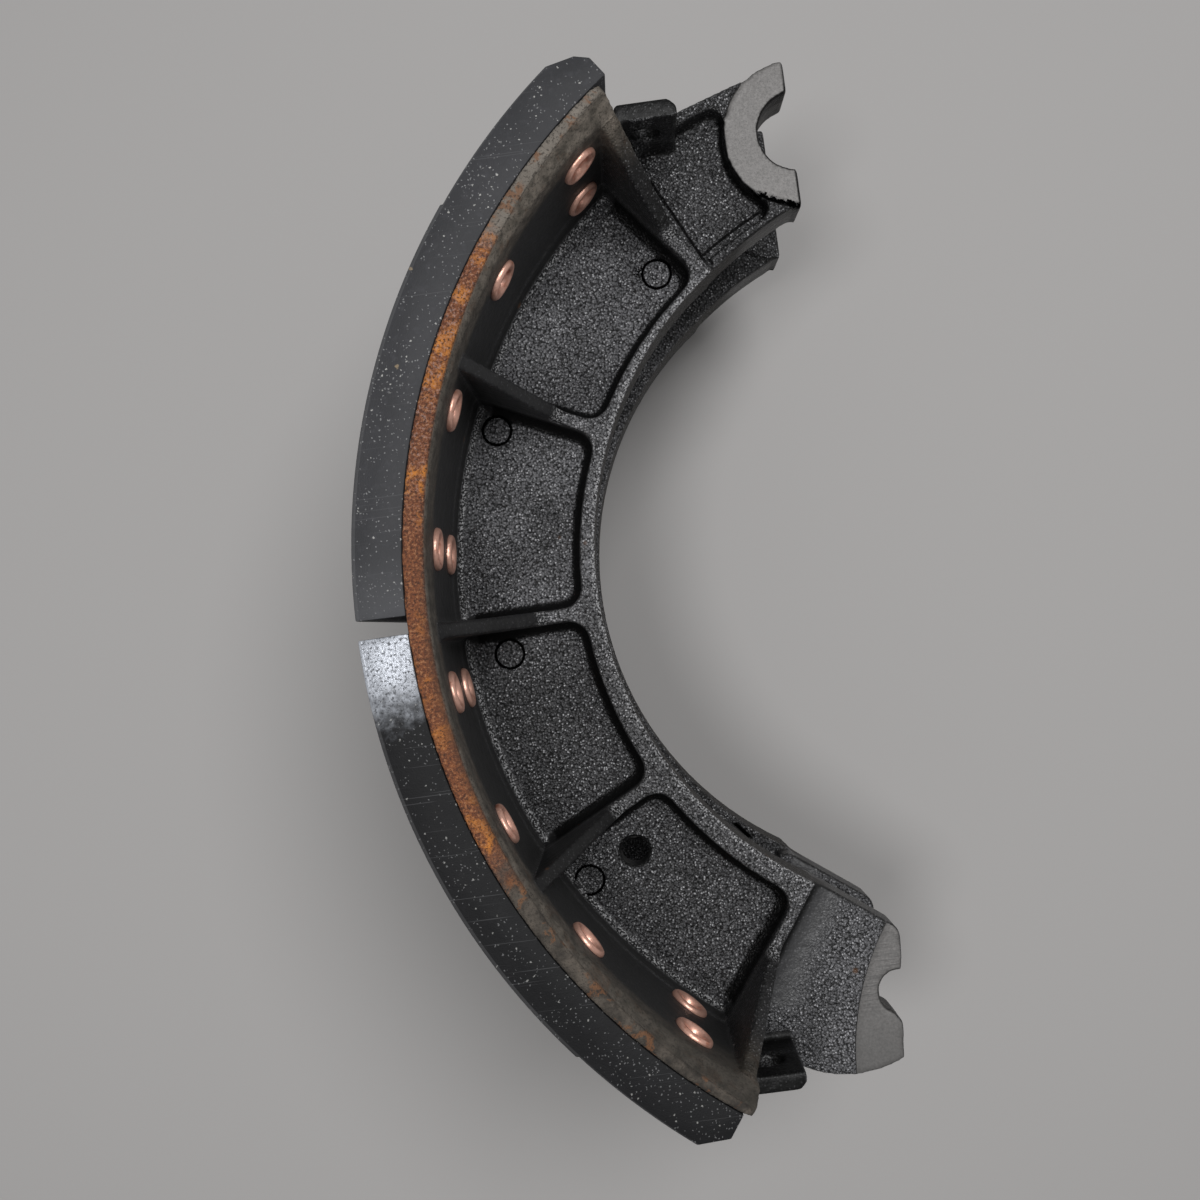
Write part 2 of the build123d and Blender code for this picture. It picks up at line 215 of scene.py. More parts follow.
class DrumShader(Shader):
    """A material painted by place: in millimetres and degrees about the drum's axis."""

    def __init__(self, name):
        super().__init__(name)
        coords = self.node("ShaderNodeTexCoord").outputs["Object"]
        moved = self.vector("SUBTRACT", coords, tuple(DRUM_AXIS))
        self.mm = self.vector("MULTIPLY", moved, (1 / MM, 1 / MM, 1 / MM))
        self.x, self.y, self.z = self.split(self.mm)
        self.radius = self.radius_about((0.0, 0.0))
        self.angle = self.math("DEGREES", self.math("ARCTAN2", self.y, self.product(self.x, -1.0)))

    # Sums
    def math(self, operation, *values):
        return self.node("ShaderNodeMath", *values, operation=operation).outputs[0]

    def vector(self, operation, *values):
        return self.node("ShaderNodeVectorMath", *values, operation=operation).outputs[0]

    def split(self, vector):
        return self.node("ShaderNodeSeparateXYZ", vector).outputs[:]

    def chain(self, operation, values):
        result = values[0]
        for value in values[1:]:
            result = self.math(operation, result, value)
        return result

    def product(self, *values):
        return self.chain("MULTIPLY", values)

    def either(self, *values):
        return self.chain("MAXIMUM", values)

    def nearest(self, *values):
        return self.chain("MINIMUM", values)

    def plus(self, first, second):
        return self.math("ADD", first, second)

    def minus(self, first, second):
        return self.math("SUBTRACT", first, second)

    def absolute(self, value):
        return self.math("ABSOLUTE", value)

    def inverse(self, value):
        return self.minus(1.0, value)

    def ripple(self, noise, size):
        """A noise made to run evenly about 0."""
        return self.product(self.minus(noise, 0.5), size)

    def step(self, value, low, high):
        """0 below low, 1 above high, smooth between. Low above high turns it round."""
        node = self.node("ShaderNodeMapRange", value, low, high, interpolation_type="SMOOTHSTEP")
        return node.outputs[0]

    def band(self, value, start, full, last, end):
        """1 from full to last, 0 outside start and end, smooth between."""
        return self.product(self.step(value, start, full), self.step(value, end, last))

    # Places
    def radius_about(self, center):
        dx = self.minus(self.x, center[0])
        dy = self.minus(self.y, center[1])
        return self.math("SQRT", self.plus(self.product(dx, dx), self.product(dy, dy)))

    def left_of(self, line):
        """How far a place is to the left of a line, seen from above."""
        start, end = line
        along = (Vector(end) - Vector(start)).normalized()
        return self.minus(self.plus(self.product(self.x, -along.y), self.product(self.y, along.x)),
                          along.x * start[1] - along.y * start[0])

    def turned(self, angle, scale):
        """Places stretched, then turned about the drum's axis."""
        mapping = self.node("ShaderNodeMapping", self.mm, (0.0, 0.0, 0.0), (0.0, 0.0, angle), scale)
        return mapping.outputs[0]

    def warped(self, scale):
        """Places shifted a little by a noise."""
        shift = self.node("ShaderNodeTexNoise", self.mm, None, scale).outputs["Color"]
        return self.vector("ADD", self.mm, self.vector("SCALE", shift))

    # Textures
    def noise(self, scale, detail=3.0, roughness=0.5, distortion=0.0, coords=None):
        node = self.node("ShaderNodeTexNoise")
        self.feed_named(node, Vector=self.mm if coords is None else coords, Scale=scale,
                        Detail=detail, Roughness=roughness, Distortion=distortion)
        return node.outputs["Fac"]

    def cells(self, scale, coords=None):
        """Distance to the nearest cell's point, and three random values of that cell."""
        node = self.node("ShaderNodeTexVoronoi")
        self.feed_named(node, Vector=self.mm if coords is None else coords, Scale=scale)
        return node.outputs["Distance"], self.split(node.outputs["Color"])

    # Colours and relief
    def mix(self, factor, low, high):
        node = self.node("ShaderNodeMix", factor, data_type="RGBA")
        self.feed(node.inputs[6], low)
        self.feed(node.inputs[7], high)
        return node.outputs[2]

    def blend(self, factor, low, high):
        node = self.node("ShaderNodeMix", factor, data_type="FLOAT")
        self.feed(node.inputs[2], low)
        self.feed(node.inputs[3], high)
        return node.outputs[0]

    def coat(self, color, *coats):
        """A colour with coats over it, each a mask, its strength and a colour."""
        for mask, strength, coat in coats:
            color = self.mix(mask if strength == 1 else self.product(mask, strength), color, coat)
        return color

    def bump(self, height, distance, normal=None):
        node = self.node("ShaderNodeBump")
        self.feed_named(node, Height=height, Distance=distance, Normal=normal)
        return node.outputs["Normal"]


class CastingShader(DrumShader):
    """Black paint on a pebbly cast skin, with rust, dirt and bare machined faces."""

    def __init__(self):
        super().__init__("painted_casting")
        self.height = self.absolute(self.z)
        self.from_gap = self.absolute(self.angle)
        self.rim_distance = self.radius_about(RIM_CENTER)
        geometry = self.node("ShaderNodeNewGeometry")
        self.facing = self.absolute(self.split(geometry.outputs["Normal"])[2])

        self.pebble, pebble_kinds = self.cells(1.18, coords=self.warped(0.9))
        self.pebble_kind = pebble_kinds[0]
        self.grain = self.noise(0.85, roughness=0.6)
        self.broad = self.noise(0.035, detail=2.0)
        self.patchy = self.noise(0.16, roughness=0.6)
        self.fine = self.noise(2.6, roughness=0.6)
        self.sparkle = self.noise(1.5, detail=2.0)
        self.rust_noise = self.noise(0.13, detail=4.0, roughness=0.68, distortion=0.6)
        self.rust_fine = self.noise(0.8, detail=4.0, roughness=0.7)
        self.flecks = self.noise(1.15, detail=2.5, roughness=0.65)

        self.mask_skin()
        self.mask_platform_edge()
        self.mask_machined_faces()

    def mask_skin(self):
        """Where the skin is smooth, not sandy: the platform's inner face, a strip beside the
        anchor end's gusset, the lugs and the steep sides of the pockets."""
        outside_rim = self.step(self.rim_distance, RIM_RADIUS + 0.5, RIM_RADIUS + 1.5)
        self.on_platform = self.product(self.step(self.radius, PLATFORM_INNER - 0.9, PLATFORM_INNER - 0.4),
                                        self.step(self.from_gap, 57.0, 56.0))
        self.gusset_strip = self.product(self.band(self.angle, -62.5, -58.0, -56.0, -55.0),
                                         self.step(self.radius, 176.0, 170.0),
                                         self.step(self.height, 36.0, 33.0))
        self.steep = self.product(self.step(self.facing, 0.95, 0.72), outside_rim,
                                  self.step(self.radius, PLATFORM_INNER - 0.4, PLATFORM_INNER - 0.9))
        self.lugs = self.product(self.step(self.absolute(self.y), LUG_SIDE, LUG_SIDE + 1.0),
                                 self.step(self.x, LUG_TIP, LUG_TIP - 2.0))
        near_ends = self.step(self.from_gap, 46.0, 49.0)
        smooth_skin = self.either(self.product(self.on_platform, 0.95),
                                  self.product(self.gusset_strip, 0.85),
                                  self.product(self.lugs, 0.9),
                                  self.product(self.steep, self.blend(near_ends, 0.9, 0.55)))
        self.sandy = self.inverse(smooth_skin)
        # Hollows between the pebbles, which get painted shade
        self.shaded_valleys = self.product(self.step(self.pebble, 0.42, 0.75), self.sandy)

        # Corners round the pockets, which get painted shade, and the rim's inner side
        self.corner = self.product(self.step(self.facing, 0.985, 0.86),
                                   self.band(self.height, WEB_FLOOR - 1.0, WEB_FLOOR - 0.3, 38.0, 40.0),
                                   self.step(self.radius, 178.5, 177.0), outside_rim,
                                   self.step(self.angle, -56.5, -55.5))
        self.walls = self.product(self.step(self.facing, 0.60, 0.30),
                                  self.step(self.rim_distance, RIM_RADIUS + 1.6, RIM_RADIUS + 0.8),
                                  self.step(self.height, WEB_INNER - 0.5, WEB_INNER + 1.0))

    def mask_platform_edge(self):
        """The platform's side edge, the bevel inside it, and the platform's ends."""
        self.edge = self.product(self.step(self.height, HALF_WIDTH - 1.4, HALF_WIDTH - 0.4),
                                 self.step(self.radius, PLATFORM_INNER - 1.0, PLATFORM_INNER))
        bevel = self.product(self.step(self.radius, PLATFORM_INNER - 0.8, PLATFORM_INNER + 0.2),
                             self.step(self.height, 83.0, 89.0))
        ends = self.product(self.step(self.from_gap, 45.0, 52.5), self.step(self.radius, 168.0, 180.0),
                            self.step(self.height, 66.0, 90.0))
        self.dirty = self.product(self.either(bevel, ends), self.blend(self.patchy, 0.7, 1.0))

    def mask_machined_faces(self):
        """The roller bosses, broken off along a ragged line, the anchor pads and the seats."""
        self.boss_distance = self.plus(self.radius_about(BOSS_CENTER), self.ripple(self.noise(0.45), 2.2))
        self.from_break = self.plus(self.left_of(BREAK_LINE),
                                    self.ripple(self.noise(0.55, roughness=0.65), 4.5))
        self.boss = self.product(self.step(self.boss_distance, BOSS_RADIUS + 0.6, BOSS_RADIUS + 0.1),
                                 self.step(self.facing, 0.75, 0.9),
                                 self.band(self.height, BOSS_TOP - 0.8, BOSS_TOP - 0.4,
                                           BOSS_TOP + 0.5, BOSS_TOP + 0.9),
                                 self.step(self.from_break, -0.1, 0.2))
        self.pad = self.product(self.step(self.radius_about(PAD_CENTER), PAD_RADIUS + 0.1, PAD_RADIUS - 0.3),
                                self.step(self.facing, 0.7, 0.9), self.step(self.y, -110.0, -120.0),
                                self.step(self.height, PAD_TOP - 2.6, PAD_TOP - 1.6))
        self.upper_pad = self.product(self.pad, self.step(self.y, -158.0, -146.0))
        roller = self.product(self.step(self.radius_about(ROLLER_CENTER),
                                        ROLLER_RADIUS + 0.9, ROLLER_RADIUS + 0.4),
                              self.step(self.height, BOSS_BOTTOM - 2.0, BOSS_BOTTOM - 1.0))
        pin = self.product(self.step(self.radius_about(PIN_CENTER), PIN_RADIUS + 0.9, PIN_RADIUS + 0.4),
                           self.step(self.height, ANCHOR_INNER - 2.5, ANCHOR_INNER - 1.5))
        self.bare = self.either(self.boss, self.pad)
        self.bores = self.either(roller, pin)
        self.cutter_marks = self.noise(1.0, roughness=0.6, coords=self.turned(0.55, (0.12, 1.9, 1.0)))

    def worn_and_glinting_edges(self):
        """Edges with wear and painted glints: the crease of each rib, the pocket floors' edge and the rim.
        """
        crease = self.product(self.band(self.radius, 151.0, 153.5, 154.5, 157.5),
                              self.band(self.height, 41.0, 42.5, 46.0, 50.0))
        floor_edge = self.product(self.step(self.radius, 180.0, 181.3),
                                  self.band(self.height, WEB_FLOOR - 1.0, WEB_FLOOR - 0.2, 33.5, 35.0),
                                  self.step(self.from_gap, 54.0, 52.5))
        rim_edge = self.product(self.step(self.rim_distance, RIM_RADIUS + 2.6, RIM_RADIUS + 1.0),
                                self.step(self.height, RIM_TOP - 1.5, RIM_TOP - 0.7))
        rim_top = self.band(self.height, RIM_TOP - 2.5, RIM_TOP - 1.0, RIM_TOP + 1.5, RIM_TOP + 3.0)
        return self.either(crease, self.product(floor_edge, 0.95), self.product(rim_edge, 0.7),
                           self.product(rim_top, 0.16))

    def paint(self):
        """Black paint, with painted shade in the pebbles' hollows, in some pockets and on the steep sides,
        painted glints on pebble tops and edges, and a few spots of rust.
        """
        shaded = self.either(self.band(self.angle, -56.0, -52.0, -8.0, 4.0),
                             self.step(self.angle, 50.0, 54.0))
        # Painted glints on the tops of some pebbles
        painted_glints = self.product(self.step(self.pebble, 0.46, 0.10),
                             self.blend(self.step(self.pebble_kind, 0.45, 0.98), 0.14, 1.0), self.sandy)
        # Painted glints and wear along the edges
        wear_and_glints = self.product(self.step(self.sparkle, 0.48, 0.62), self.worn_and_glinting_edges())
        brown_walls = self.product(self.walls, self.blend(self.patchy, 0.4, 0.9))
        spot_distance, spot_kinds = self.cells(0.05)
        spots = self.product(self.step(spot_distance, 0.075, 0.03), self.step(spot_kinds[1], 0.4, 0.39))
        black = self.mix(self.step(self.broad, 0.35, 0.65), PAINT_DARK, PAINT_LIGHT)
        return self.coat(black,
                         (shaded, 0.70, PAINT_SHADED),
                         (self.gusset_strip, 0.6, PAINT_STRIP),
                         (self.shaded_valleys, 0.85, VALLEY_SHADE),
                         # Painted shade on the steep sides and the lugs
                         (self.either(self.product(self.steep, 0.8), self.lugs), 1, STEEP_SHADE),
                         (self.on_platform, 1, PAINT_PLATFORM),
                         (painted_glints, 0.85, PEAK_GLINT),
                         (wear_and_glints, 1, WORN_GLINT),
                         (brown_walls, 1, PAINT_BROWN),
                         (spots, 0.8, RUST_SPOT))

    def rust(self):
        patches = self.product(self.step(self.rust_noise, 0.44, 0.66),
                               self.step(self.noise(0.055, roughness=0.55), 0.40, 0.58))
        grey = self.product(self.step(self.rust_fine, 0.50, 0.66), self.step(self.angle, 4.0, 18.0))
        shaded = self.product(self.step(self.radius, 187.0, 183.6), self.step(self.angle, 12.0, -4.0))
        red = self.mix(self.step(self.rust_fine, 0.35, 0.66), RUST_DARK, RUST_RED)
        return self.coat(red,
                         (patches, 1, RUST_ORANGE),
                         (grey, 0.85, RUST_GREY),
                         (self.step(self.flecks, 0.52, 0.62), 0.85, RUST_FLECK),
                         (self.step(self.flecks, 0.45, 0.36), 0.5, RUST_PALE),
                         (shaded, 0.75, RUST_SHADED))

    def platform_edge(self):
        """Rust on the platform's side edge, strongest in the middle, bare grey iron to the ends."""
        lower_iron = self.mix(self.step(self.patchy, 0.3, 0.7), IRON_LOWER_DARK, IRON_LOWER_LIGHT)
        iron = self.coat(self.mix(self.patchy, IRON_DARK, IRON_LIGHT),
                         (self.step(self.angle, 0.0, -28.0), 1, lower_iron),
                         (self.step(self.rust_noise, 0.54, 0.64), 0.75, IRON_RUSTY),
                         (self.step(self.flecks, 0.53, 0.63), 0.7, IRON_FLECK))
        middle = self.band(self.angle, -32.0, -13.0, 28.0, 43.0)
        rusting = self.step(self.plus(self.product(middle, 0.85), self.product(self.rust_noise, 0.5)),
                            0.42, 0.78)
        # The inner ridge, rubbed pale, with a painted glint
        rubbed_and_glinting = self.product(self.step(self.radius, 184.4, 183.4), self.step(self.rust_fine, 0.45, 0.6),
                              self.inverse(self.product(rusting, 0.6)))
        return self.coat(iron, (rusting, 1, self.rust()), (rubbed_and_glinting, 0.7, IRON_RUBBED_GLINT))

    def dirt(self):
        """Brown dirt, darker in the middle of the shoe and to its lower end."""
        dirt = self.coat(self.mix(self.step(self.noise(0.3), 0.22, 0.78), DIRT_DARK, DIRT_LIGHT),
                         (self.step(self.rust_noise, 0.52, 0.68), 0.5, DIRT_RUSTY),
                         (self.step(self.flecks, 0.52, 0.64), 0.6, DIRT_FLECK),
                         (self.step(self.angle, -30.0, -48.0), 0.5, DIRT_LOWER))
        return self.mix(self.step(self.angle, 20.0, 42.0), self.mix(0.40, dirt, DIRT_MIDDLE), dirt)

    def steel(self):
        return self.coat(self.mix(self.noise(1.2, roughness=0.65), STEEL_DARK, STEEL_LIGHT),
                         (self.product(self.boss, self.step(self.fine, 0.52, 0.66)), 0.5, STEEL_PIT),
                         (self.product(self.pad, self.step(self.y, -140.0, -172.0)), 0.45, STEEL_DULL),
                         (self.product(self.upper_pad, self.step(self.cutter_marks, 0.45, 0.65)),
                          0.45, STEEL_CUT))

    def crevices(self):
        """Painted shade in the rings, the boss's broken edge, the thin grooves and the slit, and a dark
        scuff.
        """
        ring_distance = self.nearest(*(self.absolute(self.minus(self.radius_about(center), EJECTOR_RADIUS))
                                       for center in EJECTOR_MARKS))
        rings = self.step(self.plus(ring_distance, self.ripple(self.grain, 0.8)), 0.66, 0.34)
        scuff = self.product(self.step(self.radius_about(SCUFF_CENTER), 2.8, 1.6),
                             self.step(self.sparkle, 0.45, 0.53))
        marks = self.product(self.either(rings, scuff), self.band(self.height, 29.0, 30.5, 33.0, 34.0))
        broken = self.product(self.band(self.from_break, -2.2, -1.4, -0.1, 0.1),
                              self.step(self.height, 34.0, 36.0),
                              self.step(self.boss_distance, BOSS_RADIUS + 1.2, BOSS_RADIUS + 0.6))
        beside_gusset = self.product(self.step(self.absolute(self.left_of(GUSSET_GROOVE)), 0.75, 0.35),
                                     self.band(self.y, GUSSET_GROOVE_END - 1.0, GUSSET_GROOVE_END + 1.0,
                                               145.0, 148.0))
        first, last = RIM_GROOVE_ANGLES
        rim_groove = self.absolute(self.minus(self.radius, RIM_GROOVE_RADIUS))
        along_rim = self.product(self.step(rim_groove, 0.75, 0.35),
                                 self.band(self.angle, first - 0.2, first + 0.4, last - 0.6, last + 0.4))
        grooves = self.product(self.either(beside_gusset, along_rim), self.step(self.height, 30.0, 31.0),
                               self.step(self.angle, 50.0, 52.0), self.step(self.radius, 136.2, 137.0))
        slit = self.product(self.step(self.absolute(self.left_of(SLIT)), 1.1, 0.5),
                            self.band(self.y, -98.6, -97.6, -91.9, -90.9), self.step(self.z, -20.0, -21.0))
        return self.either(marks, broken, self.product(grooves, 0.85), slit)

    def relief(self):
        painted = self.inverse(self.bare)
        pebbles = self.minus(self.product(self.grain, 0.75), self.product(self.pebble, 0.45))
        corroded = self.either(self.edge, self.product(self.dirty, 0.5))
        normal = self.bump(self.product(pebbles, self.product(painted, self.sandy)), 1.25 * MM)
        normal = self.bump(self.product(self.noise(0.22), painted), 0.6 * MM, normal)
        normal = self.bump(self.product(self.plus(self.fine, self.rust_fine), corroded), 0.35 * MM, normal)
        return self.bump(self.product(self.cutter_marks, self.upper_pad), 0.12 * MM, normal)

    def make(self):
        crevice = self.crevices()
        color = self.coat(self.paint(),
                          (self.dirty, 1, self.dirt()),
                          (self.edge, 1, self.platform_edge()),
                          (self.bare, 1, self.steel()),
                          (self.bores, 0.9, self.mix(self.patchy, BORE_DARK, BORE_LIGHT)),
                          # Painted shade in the corners round the pockets
                          (self.corner, 0.8, CORNER_SHADE),
                          # Painted shade in the crevices
                          (crevice, 1, CREVICE_SHADE))
        roughness = self.blend(self.sandy, 0.52, self.blend(self.grain, 0.22, 0.44))
        roughness = self.blend(self.either(self.dirty, self.edge), roughness, 0.82)
        roughness = self.blend(self.either(self.bare, self.bores), roughness, 0.55)
        roughness = self.blend(self.walls, roughness, 0.75)
        roughness = self.either(roughness, self.product(crevice, 0.9))
        # A metallic black gives back no light, as a narrow crevice does
        metallic = self.either(self.product(self.bare, 0.35), crevice, self.product(self.shaded_valleys, 0.40),
                               self.product(self.corner, 0.75), self.product(self.steep, 0.45),
                               self.product(self.lugs, 0.7))
        return self.finish(Base_Color=color, Roughness=roughness, Metallic=metallic, Normal=self.relief())


class LiningShader(DrumShader):
    """Dark moulded friction material with pale mineral specks."""

    def __init__(self, lining):
        super().__init__(f"{lining.end_name}_friction_material")
        self.lining = lining
        self.mottled = self.noise(0.35, detail=4.0, roughness=0.6)
        self.on_side = self.step(self.z, HALF_WIDTH - 1.0, HALF_WIDTH - 0.2)
        self.ground = self.step(self.radius, DRUM_RADIUS - 1.2, DRUM_RADIUS - 0.9)
        self.grinding = self.noise(1.0, coords=self.vector("MULTIPLY", self.mm, (0.05, 0.05, 1.6)))

        # The anchor side's block is glazed near the gap, with dark pits, and its colour there is partly a
        # painted glare
        self.pitted = self.noise(1.1, roughness=0.7)
        reach = self.plus(self.angle, self.ripple(self.mottled, 6.0))
        self.glazed_glare_patch = self.product(self.step(reach, -9.5, -3.5), self.step(self.angle, 0.2, 0.0),
                                   self.on_side)
        self.shine = self.product(self.glazed_glare_patch, self.blend(self.step(self.pitted, 0.64, 0.50), 0.45, 1.0))

        # Specks of three sizes, in looser and denser patches
        self.warp = self.warped(1.4)
        self.patches = self.noise(0.06, detail=2.0)
        self.small = self.specks(1.15, 0.34, 0.30)
        self.medium = self.specks(0.50, 0.20, 0.28)
        self.large = self.specks(0.12, 0.11, 0.10)

    def specks(self, scale, size, share):
        distance, kinds = self.cells(scale, coords=self.warp)
        limit = self.blend(self.step(self.patches, 0.40, 0.62), share * 0.45, share * 1.5)
        return self.product(self.step(distance, size, size * 0.6), self.math("LESS_THAN", kinds[0], limit))

    # Colours scaled by the block's painted light and shade
    def shaded(self, color):
        return tuple(channel * self.lining.shade for channel in color)

    def color(self):
        scratches = self.noise(1.0, detail=2.0, coords=self.turned(0.9, (0.02, 2.2, 0.5)))
        mottle = tuple(channel * LINING_MOTTLE for channel in self.shaded(LINING_LIGHT))
        # The cam side's block is polished a little beside the gap, with a painted sheen there
        polished_sheen = self.product(self.step(self.angle, 7.5, 0.0), self.step(self.angle, 0.0, 0.2),
                                self.on_side, self.blend(self.mottled, 0.4, 1.0))
        base = self.mix(self.noise(0.03), self.shaded(LINING_DARK), self.shaded(LINING_LIGHT))
        return self.coat(base,
                         (self.step(self.mottled, 0.5, 0.75), 0.4, mottle),
                         (self.small, self.lining.small_specks, SPECK_SMALL),
                         (self.medium, self.lining.medium_specks, SPECK_MEDIUM),
                         (self.large, 0.8, SPECK_LARGE),
                         (self.step(scratches, 0.66, 0.72), 0.3, SCRATCH_GREY),
                         (self.product(self.ground, self.blend(self.grinding, 0.15, 0.5)), 1, GROUND_GREY),
                         # The glaze, partly a painted glare
                         (self.shine, 1, GLAZE_GLARE),
                         (self.product(self.glazed_glare_patch, self.step(self.pitted, 0.62, 0.72)), 1, GLAZE_PIT),
                         # Painted sheen beside the gap
                         (polished_sheen, 0.6, SHEEN_GREY))

    def relief(self):
        specks = self.either(self.small, self.medium)
        relief = self.minus(self.product(self.mottled, 0.5), self.product(specks, 0.35))
        relief = self.minus(relief, self.product(self.glazed_glare_patch, self.step(self.pitted, 0.55, 0.68), 0.6))
        normal = self.bump(relief, 0.22 * MM)
        normal = self.bump(self.noise(2.2), 0.10 * MM, normal)
        return self.bump(self.product(self.grinding, self.ground), 0.15 * MM, normal)

    def make(self):
        roughness = self.blend(self.shine, self.blend(self.mottled, 0.55, 0.75), 0.26)
        return self.finish(Base_Color=self.color(), Roughness=roughness,
                           Metallic=self.product(self.shine, 0.21), Normal=self.relief(),
                           Specular_IOR_Level=self.lining.specular)


def make_copper_material():
    s = DrumShader("copper_rivet")
    tarnish = s.step(s.noise(0.35, detail=4.0, roughness=0.6), 0.48, 0.78)
    return s.finish(Base_Color=s.mix(tarnish, COPPER_BRIGHT, COPPER_TARNISHED),
                    Roughness=s.blend(s.noise(1.6), 0.32, 0.50), Metallic=0.72,
                    Normal=s.bump(s.noise(0.9), 0.12 * MM))


# --- Meshes -------------------------------------------------------------------------
def add_object(name, mesh, nodes, material):
    """A finished piece: it rides on the one body and stands for its nodes of the frame."""
    piece = bpy.data.objects.new(name, mesh)
    bpy.context.collection.objects.link(piece)
    mesh.materials.clear()
    mesh.materials.append(material)
    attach(piece, "root")
    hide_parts(*nodes)
    return piece


def apply_modifiers(piece):
    """Turn a piece's modifiers into its mesh."""
    graph = bpy.context.evaluated_depsgraph_get()
    mesh = bpy.data.meshes.new_from_object(piece.evaluated_get(graph))
    old = piece.data
    piece.modifiers.clear()
    piece.data = mesh
    bpy.data.meshes.remove(old)


def face_outward(mesh):
    """Outward normals on a closed mesh."""
    bm = bmesh.new()
    bm.from_mesh(mesh)
    bmesh.ops.recalc_face_normals(bm, faces=bm.faces)
    bm.to_mesh(mesh)
    bm.free()


def smooth(piece, angle):
    """Smooth shading with sharp edges above an angle in degrees."""
    piece.data.shade_smooth()
    piece.data.set_sharp_from_angle(angle=math.radians(angle))


def lathe(profile, segments, seat, outward, wobble=0.0, phase=0.0):
    """Vertices and faces of a closed solid turned from (radius, height) points.

    The first and last points are on the axis. Heights are in the outward direction from
    the seat, and the wobble is for what lies below it.
    """
    across = Vector((0.0, 0.0, 1.0))
    along = outward.cross(across)
    vertices, faces, previous = [], [], None
    for radius, height in profile:
        ring = []
        for k in range(segments if radius > 0 else 1):
            turn = 2 * math.pi * k / segments
            r = radius * (1 + wobble * math.sin(CURL_LOBES * turn + phase) * (height < 0))
            offset = (across * math.cos(turn) + along * math.sin(turn)) * r + outward * height
            ring.append(len(vertices))
            vertices.append(seat + offset * MM)
        if radius == 0:
            ring *= segments
        if previous:
            for k in range(segments):
                after = (k + 1) % segments
                corners = (previous[k], previous[after], ring[after], ring[k])
                faces.append(tuple(dict.fromkeys(corners)))
        previous = ring
    return vertices, faces


def make_rivets(material):
    """Tubular rivets: a curled lip round a dished end on the platform, a flat head outside."""
    clinch_seat = math.sqrt(PLATFORM_INNER ** 2 - CLINCH_RADIUS ** 2)
    shank = HEAD_SEAT - clinch_seat
    bowl = [(0, 2.9), (1.4, 2.85), (2.6, 2.55), (3.25, 2.0), (3.5, 1.4), (3.62, 0.8), (3.78, 0.15)]
    lip = [(4.02, -0.45), (4.36, -0.95), (4.78, -1.32), (5.25, -1.54), (5.7, -1.58), (6.15, -1.44),
           (6.5, -1.12), (6.72, -0.68), (CLINCH_RADIUS, -0.2), (6.72, 0.0)]
    stem = [(SHANK_RADIUS, 0.0), (SHANK_RADIUS, shank)]
    head = [(HEAD_RADIUS - 0.25, shank), (HEAD_RADIUS, shank + 0.25), (HEAD_RADIUS, shank + 1.3),
            (HEAD_RADIUS - 0.35, shank + 1.75), (HEAD_RADIUS - 1.1, shank + HEAD_THICKNESS),
            (2.2, shank + HEAD_THICKNESS), (1.7, shank + 1.6), (0, shank + 1.5)]
    for lining in LININGS:
        for number, (angle, height) in enumerate(rivet_places(lining.side), start=1):
            node = f"{lining.end_name}_rivet_{number:02d}"
            outward = Vector((*polar(1, angle), 0))
            seat = place(*polar(clinch_seat, angle), height)
            vertices, faces = lathe(bowl + lip + stem + head, RIVET_SEGMENTS, seat, outward,
                                    wobble=CURL_WOBBLE, phase=number * 1.7)
            mesh = bpy.data.meshes.new(node + "_copper")
            mesh.from_pydata(vertices, [], faces)
            face_outward(mesh)
            piece = add_object(node + "_copper", mesh, (node,), material)
            smooth(piece, 50)


def arc(radius, low, high, pitch=0.9):
    """Points of an arc, at least as close as the pitch in degrees."""
    count = max(2, int(abs(high - low) / pitch) + 1)
    return [polar(radius, low + (high - low) * k / count) for k in range(count + 1)]


def make_linings():
    """Moulded friction blocks with a counterbored hole for each rivet."""
    for lining in LININGS:
        outline = arc(PLATFORM_OUTER, lining.gap, lining.side * LINING_END)
        outline += [polar(DRUM_RADIUS - drop, angle) for angle, drop in reversed(lining.corner[1:])]
        outline += arc(DRUM_RADIUS - LINING_RELIEF, lining.corner[0][0], lining.relief_angle)
        outline += arc(DRUM_RADIUS, lining.relief_angle, lining.gap)
        bm = bmesh.new()
        low = [bm.verts.new(place(*point, -HALF_WIDTH)) for point in outline]
        high = [bm.verts.new(place(*point, HALF_WIDTH)) for point in outline]
        bm.faces.new(low)
        bm.faces.new(high)
        for k in range(len(outline)):
            after = (k + 1) % len(outline)
            bm.faces.new((low[k], low[after], high[after], high[k]))
        bmesh.ops.recalc_face_normals(bm, faces=bm.faces)
        node = f"{lining.end_name}_side_lining"
        mesh = bpy.data.meshes.new(node + "_block")
        bm.to_mesh(mesh)
        bm.free()
        piece = add_object(node + "_block", mesh, (node,), LiningShader(lining).make())
        cut_holes(piece, lining.side)
        bevel = piece.modifiers.new("edges", "BEVEL")
        bevel.width, bevel.segments = 0.45 * MM, 2
        bevel.limit_method, bevel.angle_limit = "ANGLE", math.radians(35)
        bevel.use_clamp_overlap = False
        apply_modifiers(piece)
        smooth(piece, 40)


